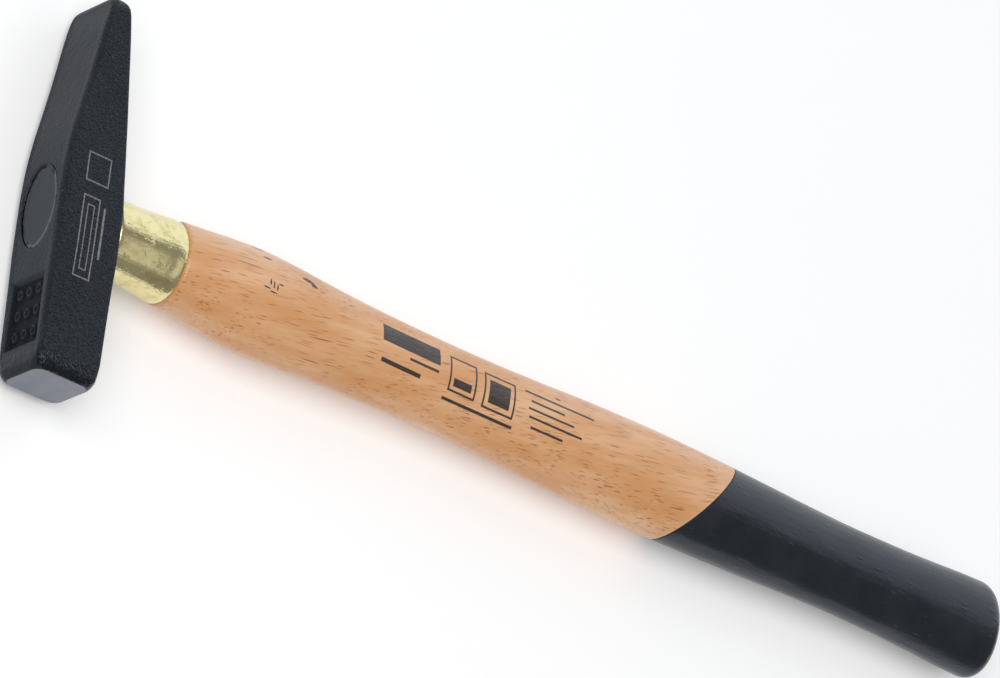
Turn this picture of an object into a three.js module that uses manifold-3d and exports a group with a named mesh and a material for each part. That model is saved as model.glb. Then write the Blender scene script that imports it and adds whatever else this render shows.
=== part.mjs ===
// Machinist's cross peen hammer, 100 g class, lying on its side.
// Working axes while modelling: the origin is the middle of the eye, +X runs down the handle to the
// butt, +Y runs along the head to the peen, +Z comes out of the upper cheek. Millimetres throughout.
import * as THREE from 'three';
import { mergeVertices } from 'three/addons/utils/BufferGeometryUtils.js';
import Module from 'manifold-3d';

const wasm = await Module();
wasm.setup();

// ---------------------------------------------------------------- driving dimensions
const FIT_GAP = 0.3; // clearance kept between neighbouring pieces

// Head: square bar 15 mm thick along the handle, struck face at one end, wedge peen at the other.
const HEAD_HALF_THICK = 7.5; // at the struck end; the bar swells a little round the eye
const FACE_Y = -36.4;
const PEEN_Y = 48.0;
const PEEN_TIP_RADIUS = 2.35;
const PEEN_CORNER_RADIUS = 3.8;
const HEAD_EDGE_RADIUS = 1.05;
const CORNER_SEGMENTS = 4;

// y, eye-side x, handle-side x, half width, edge radius
const FACE_END = [
  [FACE_Y, -6.4, 6.55, 5.9, 2.2],
  [-36.0, -6.85, 7.0, 6.35, 2.3],
  [-35.3, -7.25, 7.4, 6.8, 2.3],
  [-34.4, -7.5, 7.65, 7.07, 2.1],
  [-33.0, -7.5, 7.65, 7.09, 1.6],
  [-31.0, -7.5, 7.65, 7.1, HEAD_EDGE_RADIUS],
];
// y, eye-side x, handle-side x, half width
const HEAD_STATIONS = [
  [-31.0, -7.5, 7.65, 7.1],
  [-20.0, -7.65, 7.65, 7.27],
  [-14.0, -7.74, 7.7, 7.4],
  [-8.0, -7.8, 7.78, 7.58],
  [1.0, -7.85, 7.75, 7.58],
  [8.0, -7.66, 7.15, 7.5],
  [12.0, -7.35, 6.8, 7.45],
  [16.0, -6.85, 6.4, 7.42],
  [22.0, -5.81, 5.75, 7.45],
  [28.0, -4.75, 5.02, 7.5],
  [34.0, -3.83, 4.32, 7.52],
  [40.0, -2.98, 3.6, 7.54],
  [PEEN_Y - PEEN_TIP_RADIUS, -1.95, 2.75, 7.56],
];
const HEAD_RING_STEP = 3.0;

// Eye: oval through hole, necked in the middle and opened out towards the top of the head.
const EYE_SEGMENTS = 40;
// x, half height along the head, half width
const EYE_STATIONS = [
  [-8.0, 9.3, 5.5],
  [-7.5, 9.15, 5.42],
  [-5.5, 8.45, 5.2],
  [-2.0, 7.75, 5.05],
  [2.0, 7.55, 5.0],
  [5.0, 7.55, 5.1],
  [7.5, 7.6, 5.3],
  [8.0, 7.62, 5.35],
];

// Stamped panel in the top of the head.
const PANEL_Y = [-30.6, -15.7];
const PANEL_HALF_WIDTH = 5.15;
const PANEL_DEPTH = 1.1;
const PANEL_DRAFT = 0.6;
const STUD_ROWS = 3;
const STUDS_PER_ROW = 3;
const STUD_HEIGHT = 0.6;
const STUD_HALF = [1.35, 0.95];

// Handle: oval turned beech. x, half height, half width
const HANDLE_SEGMENTS = 48;
const HANDLE_RING_STEP = 6.0;
const HANDLE_STATIONS = [
  [24.7, 9.25, 8.0],
  [30, 9.75, 8.2],
  [38, 10.6, 8.55],
  [46, 11.15, 8.7],
  [54, 10.9, 8.5],
  [62, 10.45, 8.15],
  [72, 9.97, 7.75],
  [82, 9.72, 7.5],
  [92, 9.62, 7.42],
  [104, 9.71, 7.5],
  [118, 10.1, 7.75],
  [132, 10.7, 8.15],
  [144, 11.07, 8.4],
  [155, 11.25, 8.5],
  [168, 11.1, 8.4],
  [182, 10.76, 8.05],
  [196, 10.34, 7.6],
  [209, 10.12, 7.35],
  [222, 10.22, 7.42],
  [234, 10.62, 7.65],
  [243, 11.1, 7.9],
  [248.6, 11.25, 8.0],
];
const BUTT_X = 252.5;
const BUTT_RADIUS = 3.9;
const BUTT_ANGLES = [15, 32, 50, 70, 90];

// Tenon in the eye and the turned-down neck under the sleeve. x, half height, half width
const TENON_END_X = -6.3;
const TENON_STATIONS = [
  [TENON_END_X, 8.4, 4.92],
  [-5.5, 8.12, 4.88],
  [-2.0, 7.42, 4.73],
  [2.0, 7.22, 4.68],
  [5.0, 7.2, 4.78],
  [7.5, 7.2, 4.95],
  [9.0, 7.2, 5.7],
];

// Sleeve: pressed brass sheet, both ends rolled in. x, half height, half width of the outside
const SLEEVE_WALL = 0.55;
const SLEEVE_SEGMENTS = 48;
const SLEEVE_OUTSIDE = [
  [8.1, 7.88, 6.42],
  [8.35, 8.04, 6.58],
  [8.8, 8.13, 6.67],
  [12.0, 8.25, 6.86],
  [16.0, 8.47, 7.14],
  [20.0, 8.75, 7.46],
  [23.4, 9.08, 7.82],
  [24.1, 9.08, 7.84],
  [24.4, 8.92, 7.7],
];

// Wooden wedge across the tenon and the tube wedge driven in over it.
const WEDGE_LENGTH = 12.0;
const WEDGE_THICK = [2.4, 0.8];
const WEDGE_HALF_WIDTH = 7.1;
const TUBE_RADIUS = [2.75, 3.5];
const TUBE_LENGTH = 7.0;
const TUBE_SEGMENTS = 32;

// Lacquer plug that closes the eye over the tenon.
const SEAL_X = [-7.7, -6.6];

// Dipped coat on the tail end of the grip, ended on a slant.
const COAT_THICK = 0.4;
const COAT_EDGE_X = 167;
const COAT_EDGE_SLOPE = [0.73, 0.08]; // along Y, along Z
const COAT_RING_START = 150;

// ---------------------------------------------------------------- helpers
/** Closed solid through rings of equal point counts, with a fan over each end. */
function loft(rings) {
  const count = rings[0].length;
  const points = rings.flat();
  const faces = [];
  for (let r = 0; r < rings.length - 1; r += 1) {
    for (let i = 0; i < count; i += 1) {
      const j = (i + 1) % count;
      const a = r * count + i;
      const b = r * count + j;
      faces.push([a, b, b + count], [a, b + count, a + count]);
    }
  }
  const ends = [rings[0], rings[rings.length - 1]];
  ends.forEach((ring, end) => {
    const centre = new THREE.Vector3();
    ring.forEach((p) => centre.addScaledVector(p, 1 / count));
    const hub = points.length;
    points.push(centre);
    const base = end * (rings.length - 1) * count;
    for (let i = 0; i < count; i += 1) {
      const j = (i + 1) % count;
      faces.push(end ? [base + i, base + j, hub] : [base + j, base + i, hub]);
    }
  });
  return facing(points, faces);
}

/** Indexed geometry from points and triangles, turned so that it faces outwards. */
function facing(points, faces) {
  let volume = 0;
  for (const [a, b, c] of faces) {
    volume += points[a].dot(new THREE.Vector3().crossVectors(points[b], points[c])) / 6;
  }
  const turned = volume < 0 ? faces.map(([a, b, c]) => [a, c, b]) : faces;
  const geometry = new THREE.BufferGeometry();
  const position = points.flatMap((p) => [p.x, p.y, p.z]);
  geometry.setAttribute('position', new THREE.Float32BufferAttribute(position, 3));
  geometry.setIndex(turned.flat());
  return geometry;
}

/** Oval ring square to the X axis. */
function oval(x, halfY, halfZ, segments) {
  const ring = [];
  for (let i = 0; i < segments; i += 1) {
    const angle = (2 * Math.PI * i) / segments;
    ring.push(new THREE.Vector3(x, halfY * Math.cos(angle), halfZ * Math.sin(angle)));
  }
  return ring;
}

/** Solid of oval rings along X, each grown by `grow` all round. */
function ovalLoft(stations, segments, grow = 0) {
  return loft(stations.map(([x, y, z]) => oval(x, y + grow, z + grow, segments)));
}

/** Rounded rectangle square to the Y axis, from lowX to highX and halfZ each way. */
function barSection(y, lowX, highX, halfZ, radius) {
  const middle = (lowX + highX) / 2;
  const halfX = (highX - lowX) / 2;
  const r = Math.min(radius, 0.9 * halfX);
  const ring = [];
  const corners = [[1, 1], [-1, 1], [-1, -1], [1, -1]];
  corners.forEach(([sx, sz], quarter) => {
    for (let i = 0; i <= CORNER_SEGMENTS; i += 1) {
      const angle = (Math.PI / 2) * (quarter + i / CORNER_SEGMENTS);
      const x = middle + sx * (halfX - r) + r * Math.cos(angle);
      const z = sz * (halfZ - r) + r * Math.sin(angle);
      ring.push(new THREE.Vector3(x, y, z));
    }
  });
  return ring;
}

/** Smooth in-between rows of a table of stations, without overshoot. */
function refine(stations, step) {
  const first = (row) => row[0];
  const slope = (k, column) => {
    if (k === 0 || k === stations.length - 1) return 0;
    const before = stations[k - 1];
    const here = stations[k];
    const after = stations[k + 1];
    const left = (here[column] - before[column]) / (here[0] - before[0]);
    const right = (after[column] - here[column]) / (after[0] - here[0]);
    return left * right <= 0 ? 0 : (2 * left * right) / (left + right);
  };
  const rows = [];
  for (let k = 0; k < stations.length - 1; k += 1) {
    const a = stations[k];
    const b = stations[k + 1];
    const span = first(b) - first(a);
    const parts = Math.max(1, Math.round(span / step));
    for (let i = 0; i < parts; i += 1) {
      const t = i / parts;
      const row = a.map((value, column) => {
        if (column === 0) return value + span * t;
        const m0 = k === 0 ? (b[column] - value) / span : slope(k, column);
        const last = k === stations.length - 2;
        const m1 = last ? (b[column] - value) / span : slope(k + 1, column);
        const h00 = 2 * t ** 3 - 3 * t ** 2 + 1;
        const h10 = t ** 3 - 2 * t ** 2 + t;
        const h01 = 3 * t ** 2 - 2 * t ** 3;
        const h11 = t ** 3 - t ** 2;
        return h00 * value + h10 * span * m0 + h01 * b[column] + h11 * span * m1;
      });
      rows.push(row);
    }
  }
  rows.push([...stations[stations.length - 1]]);
  return rows;
}

/** Box between two corners. */
function block(low, high) {
  const size = high.map((value, i) => value - low[i]);
  const geometry = new THREE.BoxGeometry(...size);
  geometry.translate(...low.map((value, i) => (value + high[i]) / 2));
  return geometry;
}

/** Flat-topped block standing on a base, narrower at the far end: [x, half y, half z] at each end. */
function tapered(centreY, centreZ, near, far) {
  const ring = ([x, halfY, halfZ]) => [[1, 1], [-1, 1], [-1, -1], [1, -1]].map(
    ([sy, sz]) => new THREE.Vector3(x, centreY + sy * halfY, centreZ + sz * halfZ),
  );
  return loft([ring(near), ring(far)]);
}

/** Round cylinder along X. */
function round(x0, x1, radius) {
  return loft([oval(x0, radius, radius, TUBE_SEGMENTS), oval(x1, radius, radius, TUBE_SEGMENTS)]);
}

/** Manifold solid of a geometry. */
function solid(geometry) {
  const bare = geometry.clone();
  bare.deleteAttribute('normal');
  bare.deleteAttribute('uv');
  const welded = mergeVertices(bare, 1e-5);
  const vertProperties = new Float32Array(welded.attributes.position.array);
  const triVerts = new Uint32Array(welded.index.array);
  return new wasm.Manifold(new wasm.Mesh({ numProp: 3, vertProperties, triVerts }));
}

/** Geometry of a manifold solid. */
function geometryOf(manifold) {
  const mesh = manifold.getMesh();
  const geometry = new THREE.BufferGeometry();
  const position = new THREE.BufferAttribute(new Float32Array(mesh.vertProperties), 3);
  geometry.setAttribute('position', position);
  geometry.setIndex(new THREE.BufferAttribute(new Uint32Array(mesh.triVerts), 1));
  return geometry;
}

// ---------------------------------------------------------------- head
/** Bar, face end, peen taper and rounded peen tip in one loft. */
function headBar() {
  const rings = FACE_END.slice(0, -1).map((row) => barSection(...row));
  for (const [y, low, high, half] of refine(HEAD_STATIONS, HEAD_RING_STEP)) {
    rings.push(barSection(y, low, high, cornered(y, half), HEAD_EDGE_RADIUS));
  }
  const [base, low, high, half] = HEAD_STATIONS[HEAD_STATIONS.length - 1];
  const middle = (low + high) / 2;
  for (const angle of [18, 36, 54, 70, 82]) {
    const t = THREE.MathUtils.degToRad(angle);
    const y = base + PEEN_TIP_RADIUS * Math.sin(t);
    const thick = PEEN_TIP_RADIUS * Math.cos(t);
    const wide = cornered(y, half);
    rings.push(barSection(y, middle - thick, middle + thick, wide, HEAD_EDGE_RADIUS));
  }
  return loft(rings);
}

/** Half width of the peen once its outer corners are rounded off. */
function cornered(y, half) {
  const start = PEEN_Y - PEEN_CORNER_RADIUS;
  if (y <= start) return half;
  const run = Math.min(y - start, PEEN_CORNER_RADIUS);
  return half - PEEN_CORNER_RADIUS + Math.sqrt(PEEN_CORNER_RADIUS ** 2 - run ** 2);
}

/** Stamped panel: drafted recess with rows of plain raised studs left standing. */
function stampedPanel() {
  const [y0, y1] = PANEL_Y;
  const centre = (y0 + y1) / 2;
  const halfLength = (y1 - y0) / 2;
  const lift = 0.5;
  const flare = (PANEL_DRAFT * lift) / PANEL_DEPTH;
  const mouth = [-HEAD_HALF_THICK - lift, halfLength + flare, PANEL_HALF_WIDTH + flare];
  const floor = [
    -HEAD_HALF_THICK + PANEL_DEPTH,
    halfLength - PANEL_DRAFT,
    PANEL_HALF_WIDTH - PANEL_DRAFT,
  ];
  let recess = solid(tapered(centre, 0, mouth, floor));
  const pitchY = (2 * (halfLength - PANEL_DRAFT)) / STUD_ROWS;
  const pitchZ = (2 * (PANEL_HALF_WIDTH - PANEL_DRAFT)) / STUDS_PER_ROW;
  for (let row = 0; row < STUD_ROWS; row += 1) {
    for (let n = 0; n < STUDS_PER_ROW; n += 1) {
      const y = centre + (row - (STUD_ROWS - 1) / 2) * pitchY;
      const z = (n - (STUDS_PER_ROW - 1) / 2) * pitchZ;
      const foot = [floor[0] + 0.1, STUD_HALF[0], STUD_HALF[1]];
      const top = [floor[0] - STUD_HEIGHT, STUD_HALF[0] - 0.25, STUD_HALF[1] - 0.25];
      recess = recess.subtract(solid(tapered(y, z, foot, top)));
    }
  }
  return recess;
}

function hammerHead() {
  const bar = solid(headBar());
  const eye = solid(ovalLoft(EYE_STATIONS, EYE_SEGMENTS));
  return geometryOf(bar.subtract(eye).subtract(stampedPanel()));
}

// ---------------------------------------------------------------- handle and its coat
/** Outside of the handle from `startX` to the butt, moved inwards by `inset`. */
function gripRows(startX, inset) {
  const rows = refine(HANDLE_STATIONS, HANDLE_RING_STEP)
    .filter(([x]) => x >= startX)
    .map(([x, y, z]) => [x, y - inset, z - inset]);
  const [, halfY, halfZ] = HANDLE_STATIONS[HANDLE_STATIONS.length - 1];
  const radius = BUTT_RADIUS - inset;
  for (const angle of BUTT_ANGLES) {
    const t = THREE.MathUtils.degToRad(angle);
    const drawn = inset + radius * (1 - Math.cos(t));
    rows.push([BUTT_X - BUTT_RADIUS + radius * Math.sin(t), halfY - drawn, halfZ - drawn]);
  }
  return rows;
}

/** Everything beyond the slanted edge of the dip, as a sheared block. */
function beyondEdge(shift) {
  const geometry = block([COAT_EDGE_X + shift, -20, -20], [BUTT_X + 40, 20, 20]);
  const position = geometry.attributes.position;
  for (let i = 0; i < position.count; i += 1) {
    const y = position.getY(i);
    const z = position.getZ(i);
    const slant = COAT_EDGE_SLOPE[0] * y + COAT_EDGE_SLOPE[1] * z;
    position.setX(i, position.getX(i) + slant);
  }
  return solid(geometry);
}

/** Wedge shape that fills the kerf, grown by `gap` on every side. */
function wedgeShape(gap, halfWidth) {
  const length = WEDGE_LENGTH;
  const [thick, thin] = WEDGE_THICK;
  const slope = (thick - thin) / length;
  const near = [TENON_END_X - gap, halfWidth, (thick + slope * gap) / 2 + gap];
  const far = [TENON_END_X + length + gap, halfWidth, (thin - slope * gap) / 2 + gap];
  return solid(tapered(0, 0, near, far));
}

/** Annular groove the tube wedge sits in. */
function tubeGroove() {
  const end = TENON_END_X + TUBE_LENGTH + FIT_GAP;
  const outer = solid(round(TENON_END_X - 1, end, TUBE_RADIUS[1] + FIT_GAP));
  const inner = solid(round(TENON_END_X - 2, end + 1, TUBE_RADIUS[0] - FIT_GAP));
  return outer.subtract(inner);
}

function handleWood() {
  const rows = gripRows(0, 0);
  const neck = SLEEVE_OUTSIDE.filter(([x]) => x > 8.5 && x < 24).map(
    ([x, y, z]) => [x, y - SLEEVE_WALL - FIT_GAP, z - SLEEVE_WALL - FIT_GAP],
  );
  const [, lastY, lastZ] = neck[neck.length - 1];
  const tenon = TENON_STATIONS.slice(0, -1);
  neck[0] = TENON_STATIONS[TENON_STATIONS.length - 1];
  const shoulder = [[HANDLE_STATIONS[0][0] - 0.001, lastY, lastZ]];
  const full = solid(ovalLoft([...tenon, ...neck, ...shoulder, ...rows], HANDLE_SEGMENTS));
  const core = solid(ovalLoft(gripRows(COAT_RING_START, COAT_THICK + FIT_GAP), HANDLE_SEGMENTS));
  const kerf = wedgeShape(FIT_GAP, 12);
  const wood = full.subtract(beyondEdge(-FIT_GAP)).add(core);
  return geometryOf(wood.subtract(kerf).subtract(tubeGroove()));
}

function gripCoat() {
  const outer = solid(ovalLoft(gripRows(COAT_RING_START, 0), HANDLE_SEGMENTS));
  const inner = solid(ovalLoft(gripRows(COAT_RING_START, COAT_THICK), HANDLE_SEGMENTS));
  return geometryOf(outer.subtract(inner).intersect(beyondEdge(0)));
}

// ---------------------------------------------------------------- sleeve, wedges and plug
function ferruleSleeve() {
  const outer = SLEEVE_OUTSIDE;
  const inner = outer.slice(2, -2).map(([x, y, z]) => [x, y - SLEEVE_WALL, z - SLEEVE_WALL]);
  const start = outer[0];
  const end = outer[outer.length - 1];
  const first = [start[0], start[1] - SLEEVE_WALL * 0.62, start[2] - SLEEVE_WALL * 0.62];
  const last = [end[0], end[1] - SLEEVE_WALL * 0.62, end[2] - SLEEVE_WALL * 0.62];
  const loop = [...outer, last, ...inner.reverse(), first];
  const rings = loop.map(([x, y, z]) => oval(x, y, z, SLEEVE_SEGMENTS));
  return closedRing(rings);
}

/** Closed tube whose wall section is the loop of rings, in order round the wall. */
function closedRing(rings) {
  const count = rings[0].length;
  const faces = [];
  for (let r = 0; r < rings.length; r += 1) {
    const next = (r + 1) % rings.length;
    for (let i = 0; i < count; i += 1) {
      const j = (i + 1) % count;
      faces.push([r * count + i, r * count + j, next * count + j]);
      faces.push([r * count + i, next * count + j, next * count + i]);
    }
  }
  return facing(rings.flat(), faces);
}

function kerfWedge() {
  return geometryOf(wedgeShape(0, WEDGE_HALF_WIDTH).subtract(tubeGroove()));
}

function ringWedge() {
  const x0 = TENON_END_X;
  const x1 = TENON_END_X + TUBE_LENGTH;
  const [inside, outside] = TUBE_RADIUS;
  const wall = [[x0, outside - 0.15], [x0 + 0.4, outside], [x1 - 1.6, outside]];
  const edge = [[x1, inside + 0.12], [x1, inside], [x0, inside]];
  return closedRing([...wall, ...edge].map(([x, r]) => oval(x, r, r, TUBE_SEGMENTS)));
}

function eyeSeal() {
  const [top, bottom] = SEAL_X;
  const at = (x, drawn) => {
    const [a, b] = [EYE_STATIONS[1], EYE_STATIONS[2]];
    const t = (x - a[0]) / (b[0] - a[0]);
    const halfY = a[1] + (b[1] - a[1]) * t - FIT_GAP - drawn;
    const halfZ = a[2] + (b[2] - a[2]) * t - FIT_GAP - drawn;
    return oval(x, halfY, halfZ, EYE_SEGMENTS);
  };
  return loft([at(top, 0.25), at(top + 0.2, 0), at(bottom, 0)]);
}

// ---------------------------------------------------------------- assembly
const FINISH = {
  hammer_head: { color: 0x2c2f35, roughness: 0.55, metalness: 0.4 },
  handle: { color: 0xd29b68, roughness: 0.45, metalness: 0.0 },
  ferrule_sleeve: { color: 0xc9b97a, roughness: 0.25, metalness: 1.0 },
  kerf_wedge: { color: 0xc49a6c, roughness: 0.7, metalness: 0.0 },
  ring_wedge: { color: 0x9a9da1, roughness: 0.4, metalness: 0.9 },
  eye_seal: { color: 0x3a3e47, roughness: 0.35, metalness: 0.0 },
  grip_dip_coat: { color: 0x24272d, roughness: 0.4, metalness: 0.0 },
};
const SHAPES = {
  hammer_head: hammerHead,
  handle: handleWood,
  ferrule_sleeve: ferruleSleeve,
  kerf_wedge: kerfWedge,
  ring_wedge: ringWedge,
  eye_seal: eyeSeal,
  grip_dip_coat: gripCoat,
};

const hammer = new THREE.Group();
hammer.name = 'cross_peen_hammer';
for (const [name, shape] of Object.entries(SHAPES)) {
  const geometry = shape();
  geometry.computeVertexNormals();
  const mesh = new THREE.Mesh(geometry, new THREE.MeshStandardMaterial(FINISH[name]));
  mesh.name = name;
  hammer.add(mesh);
}

// The finished part stands with its lowest point on Z = 0, centred over the origin.
const box = new THREE.Box3().setFromObject(hammer);
hammer.position.set(-(box.min.x + box.max.x) / 2, -(box.min.y + box.max.y) / 2, -box.min.z);
hammer.updateMatrixWorld(true);

export default hammer;
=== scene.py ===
"""Looks of a small machinist's cross peen hammer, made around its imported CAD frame.

The hammer lies on its side on a pale floor. Sizes are in millimetres from the middle of the eye:
X runs down the handle to the butt, Y along the head to the peen, Z out of the upper cheek.
"""

import logging
import math
from dataclasses import dataclass, field
from enum import Enum
from functools import reduce
from typing import Any, Callable, Iterable, Sequence

import bmesh
import bpy
import numpy as np
from mathutils import Matrix, Vector


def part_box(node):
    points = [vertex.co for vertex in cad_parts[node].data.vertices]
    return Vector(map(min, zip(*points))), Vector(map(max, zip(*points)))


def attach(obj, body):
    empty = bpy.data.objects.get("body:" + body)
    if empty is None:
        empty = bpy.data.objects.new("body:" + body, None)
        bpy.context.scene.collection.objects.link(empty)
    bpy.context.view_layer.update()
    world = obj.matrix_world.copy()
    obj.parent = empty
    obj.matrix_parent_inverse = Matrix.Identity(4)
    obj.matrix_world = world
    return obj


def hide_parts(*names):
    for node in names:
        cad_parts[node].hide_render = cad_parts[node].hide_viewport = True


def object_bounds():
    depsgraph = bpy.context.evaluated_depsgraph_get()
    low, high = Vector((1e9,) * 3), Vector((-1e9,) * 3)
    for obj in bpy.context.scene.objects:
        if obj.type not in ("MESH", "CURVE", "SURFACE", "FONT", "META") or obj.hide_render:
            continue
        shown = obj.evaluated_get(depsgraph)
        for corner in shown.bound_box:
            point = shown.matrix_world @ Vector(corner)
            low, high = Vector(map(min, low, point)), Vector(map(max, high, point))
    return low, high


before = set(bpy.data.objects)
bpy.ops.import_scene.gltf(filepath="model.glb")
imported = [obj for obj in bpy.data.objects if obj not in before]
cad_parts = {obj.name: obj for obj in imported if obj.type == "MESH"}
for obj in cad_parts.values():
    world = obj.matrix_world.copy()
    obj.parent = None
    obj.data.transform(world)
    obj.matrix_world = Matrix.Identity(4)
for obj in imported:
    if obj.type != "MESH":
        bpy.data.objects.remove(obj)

MM = 0.001
BODY = "root"
LOG = logging.getLogger("hammer")

Colour = Scale = tuple[float, float, float]
Array = np.ndarray


def triple(box: tuple[Vector, Vector]) -> list[list[float]]:
    """The two corners of a box as plain lists of numbers."""
    return [[float(v) for v in corner] for corner in box]


CAD_BOX = triple(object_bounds())


class Slot(Enum):
    """The record's material slot names."""

    HEAD = "head_paint"
    BEECH = "beech"
    SLEEVE = "sleeve_brass"
    EYE = "eye_lacquer"
    GRIP = "grip_lacquer"


# ---- shader maths
def operator(operation: str, swapped: bool = False) -> Callable[["Wire", Any], "Wire"]:
    """Makes a method of Wire that adds a Math node.

    Args:
        operation: The Math node's operation.
        swapped: Whether the wire is the second of the two values.

    Returns:
        The method.
    """

    def method(self: "Wire", other: Any) -> "Wire":
        """Adds the node for two values."""
        first, second = (other, self) if swapped else (self, other)
        return self.math(operation, first, second)

    return method


@dataclass(eq=False)
class Wire:
    """A shader value on its board, whose operators add Math nodes."""

    board: "Board"
    socket: bpy.types.NodeSocket

    def math(self, operation: str, first: Any, second: Any = None, clamp: bool = False) -> "Wire":
        """Adds one Math node.

        Args:
            operation: The Math node's operation.
            first: The first value or wire.
            second: The second value or wire, if the operation has one.
            clamp: Whether the result is held between 0 and 1.

        Returns:
            The node's result.
        """
        inputs = {0: first} if second is None else {0: first, 1: second}
        settings = {"operation": operation, "use_clamp": clamp}
        return self.board.node("ShaderNodeMath", settings, inputs)

    __add__ = __radd__ = operator("ADD")
    __sub__ = operator("SUBTRACT")
    __rsub__ = operator("SUBTRACT", swapped=True)
    __mul__ = __rmul__ = operator("MULTIPLY")
    __truediv__ = operator("DIVIDE")
    __rtruediv__ = operator("DIVIDE", swapped=True)
    __pow__ = operator("POWER")
    __rpow__ = operator("POWER", swapped=True)
    most = operator("MAXIMUM")

    def __abs__(self) -> "Wire":
        """Size without sign."""
        return self.math("ABSOLUTE", self)

    def held(self) -> "Wire":
        """The value held between 0 and 1."""
        return self.math("ADD", self, 0.0, clamp=True)

    def ramp(self, low: float, high: float) -> "Wire":
        """Smooth step from 0 at low to 1 at high, which may be the smaller of the two."""
        settings = {"interpolation_type": "SMOOTHSTEP", "clamp": True}
        return self.board.node("ShaderNodeMapRange", settings, {0: self, 1: low, 2: high})


class Board:
    """The node tree of one material, and the one way in which nodes are added to it."""

    middle = Vector()  # the middle of the eye in the row frame, in metres

    def __init__(self, name: str) -> None:
        """Starts a material with a Principled shader.

        Args:
            name: The material's name.
        """
        self.material = bpy.data.materials.new(name)
        self.material.use_nodes = True
        self.tree = self.material.node_tree
        self.shader = next(n for n in self.tree.nodes if n.type == "BSDF_PRINCIPLED")

    def node(
        self,
        kind: str,
        settings: dict[str, Any] | None = None,
        inputs: dict[int | str, Any] | None = None,
        out: int | str = 0,
    ) -> Wire:
        """Adds a node.

        Args:
            kind: The node's type.
            settings: Its own settings.
            inputs: Values or wires for its sockets, by number or name.
            out: The output to return.

        Returns:
            A wire from that output.
        """
        made = self.tree.nodes.new(kind)
        for name, value in (settings or {}).items():
            setattr(made, name, value)
        for key, value in (inputs or {}).items():
            self._set(made.inputs[key], value)
        return Wire(self, made.outputs[out])

    def _set(self, socket: bpy.types.NodeSocket, value: Any) -> None:
        """Links or sets one input.

        Args:
            socket: The input socket.
            value: A wire, a number, a vector or a colour.
        """
        if isinstance(value, Wire):
            self.tree.links.new(value.socket, socket)
        elif isinstance(value, (tuple, list)) and len(value) == 3 and socket.type == "RGBA":
            socket.default_value = (*value, 1.0)
        else:
            socket.default_value = value

    def place(self) -> Wire:
        """Position from the middle of the eye, in millimetres.

        Returns:
            The position.
        """
        spot = self.node("ShaderNodeTexCoord", out="Object")
        spot = self.shift(spot, tuple(-v for v in self.middle))
        return self.stretch(spot, (1 / MM, 1 / MM, 1 / MM))

    def stretch(self, vector: Wire, by: Sequence[float]) -> Wire:
        """A vector multiplied axis by axis."""
        settings = {"operation": "MULTIPLY"}
        return self.node("ShaderNodeVectorMath", settings, {0: vector, 1: tuple(by)})

    def shift(self, vector: Wire, by: Any) -> Wire:
        """A vector with another vector added."""
        return self.node("ShaderNodeVectorMath", {"operation": "ADD"}, {0: vector, 1: by})

    def axes(self, vector: Wire) -> tuple[Wire, Wire, Wire]:
        """Takes a vector apart.

        Args:
            vector: The vector.

        Returns:
            Its x, y and z.
        """
        split = self.node("ShaderNodeSeparateXYZ", inputs={0: vector})
        outputs = split.socket.node.outputs
        return Wire(self, outputs[0]), Wire(self, outputs[1]), Wire(self, outputs[2])

    def joined(self, x: Any, y: Any, z: Any) -> Wire:
        """A vector of three values."""
        return self.node("ShaderNodeCombineXYZ", inputs={0: x, 1: y, 2: z})

    def noise(self, vector: Wire, scale: float | Scale, detail: float, rough: float) -> Wire:
        """Cloudy noise.

        Args:
            vector: Where it is read.
            scale: Clouds to each unit of the vector, or to each unit of each axis.
            detail: Finer layers.
            rough: How strong the finer layers are.

        Returns:
            The noise, from 0 to 1.
        """
        if isinstance(scale, tuple):
            vector, scale = self.stretch(vector, scale), 1.0
        inputs = {"Vector": vector, "Scale": scale, "Detail": detail, "Roughness": rough}
        return self.node("ShaderNodeTexNoise", inputs=inputs)

    def cells(self, vector: Wire, scale: float | Scale) -> tuple[Wire, Wire]:
        """Scattered cells.

        Args:
            vector: Where they are read.
            scale: Cells to each unit of the vector, or to each unit of each axis.

        Returns:
            The distance to the nearest cell's middle, and that cell's own random value.
        """
        if isinstance(scale, tuple):
            vector, scale = self.stretch(vector, scale), 1.0
        inputs = {"Vector": vector, "Scale": scale}
        near = self.node("ShaderNodeTexVoronoi", {"feature": "F1"}, inputs, "Distance")
        colour = Wire(self, near.socket.node.outputs["Color"])
        return near, self.axes(colour)[0]

    def blend(self, share: Any, first: Any, second: Any) -> Wire:
        """Two colours mixed, with a share from 0 to 1 of the second."""
        settings = {"data_type": "RGBA", "clamp_factor": True}
        return self.node("ShaderNodeMix", settings, {0: share, 6: first, 7: second}, 2)

    def bump(self, height: Wire, depth: float, below: Wire | None = None) -> Wire:
        """A bumped normal.

        Args:
            height: The height, from 0 to 1.
            depth: The height of 1, in millimetres.
            below: A normal that this one is laid over.

        Returns:
            The normal.
        """
        inputs: dict[int | str, Any] = {"Height": height, "Distance": depth * MM, "Strength": 1.0}
        if below is not None:
            inputs["Normal"] = below
        return self.node("ShaderNodeBump", inputs=inputs)

    def finish(
        self, tint: Wire, rough: Any, normal: Wire | None, **others: Any
    ) -> bpy.types.Material:
        """Sets the shader's sockets.

        Args:
            tint: The base colour.
            rough: The roughness.
            normal: The bumped normal, or nothing on a plain surface.
            **others: Values for other sockets, with an underscore for each space of a name.

        Returns:
            The finished material.
        """
        sockets = {"Base_Color": tint, "Roughness": rough, "Normal": normal, **others}
        for name, value in sockets.items():
            if value is not None:
                self._set(self.shader.inputs[name.replace("_", " ")], value)
        return self.material


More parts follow.
